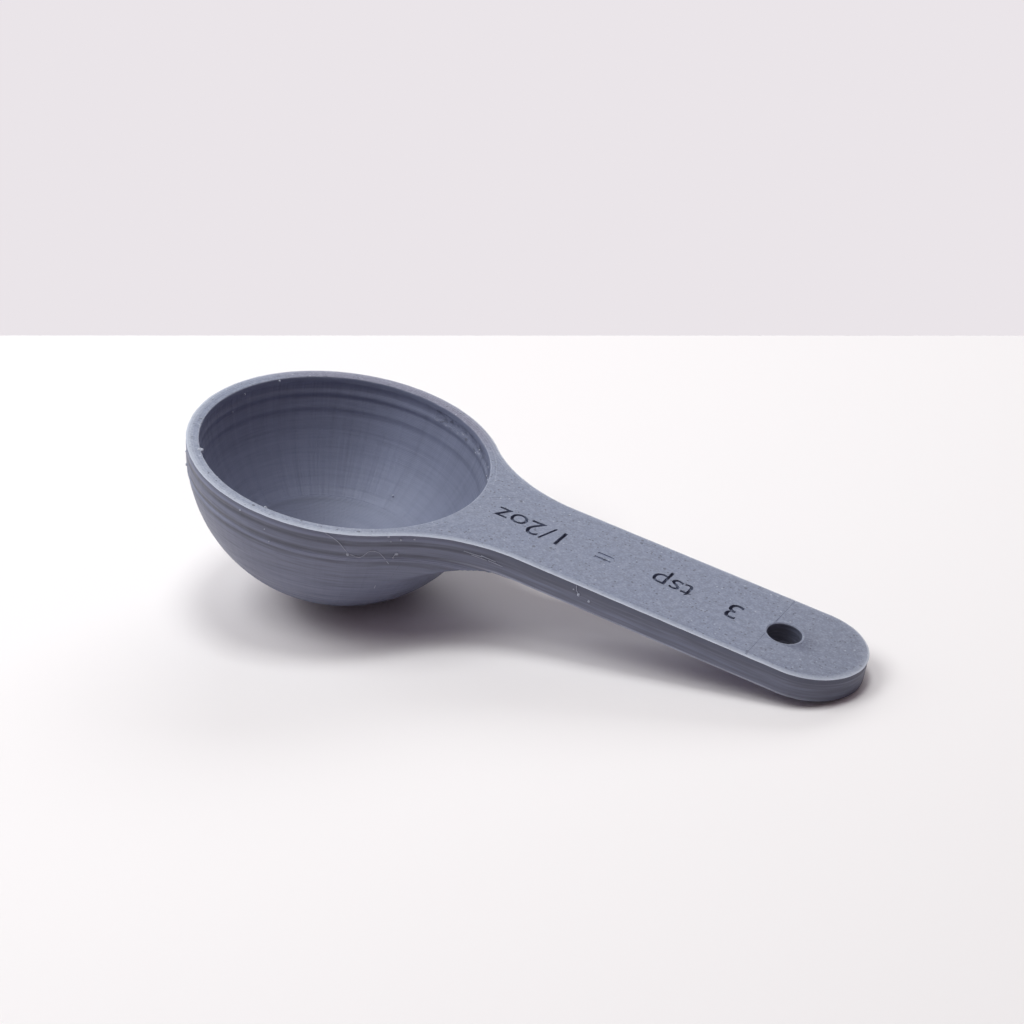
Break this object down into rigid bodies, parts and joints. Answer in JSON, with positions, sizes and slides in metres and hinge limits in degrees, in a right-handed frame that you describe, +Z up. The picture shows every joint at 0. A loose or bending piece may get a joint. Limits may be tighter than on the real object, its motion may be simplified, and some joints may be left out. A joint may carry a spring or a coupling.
{
  "type": "measuring spoon",
  "caption": "Printed plastic measuring spoon: a near-hemispherical bowl, a filleted neck and a flat handle with a round end and a hanging hole.",
  "frame": {"origin": "on the table under the middle of the spoon's box, with the spoon lying on the bottom of its bowl and the tip of its handle", "axes": "+X along the handle from the bowl to the tip, +Z up from the table; the rim and handle face slope down towards the tip by 13.3 degrees"},
  "size_m": [0.0944, 0.0422, 0.0256],
  "materials": {
    "bed_face": "blue-grey printed plastic, matte and finely speckled from the print bed",
    "layers": "blue-grey printed plastic with fine layer lines, satin"
  },
  "bodies": {
    "root": {"face_skin": "bed_face", "bowl_wall": "layers", "bowl_crown": "layers", "handle_wall": "layers", "handle_back": "layers", "hole_wall": "layers", "handle_fill": "layers"}
  },
  "joints": []
}
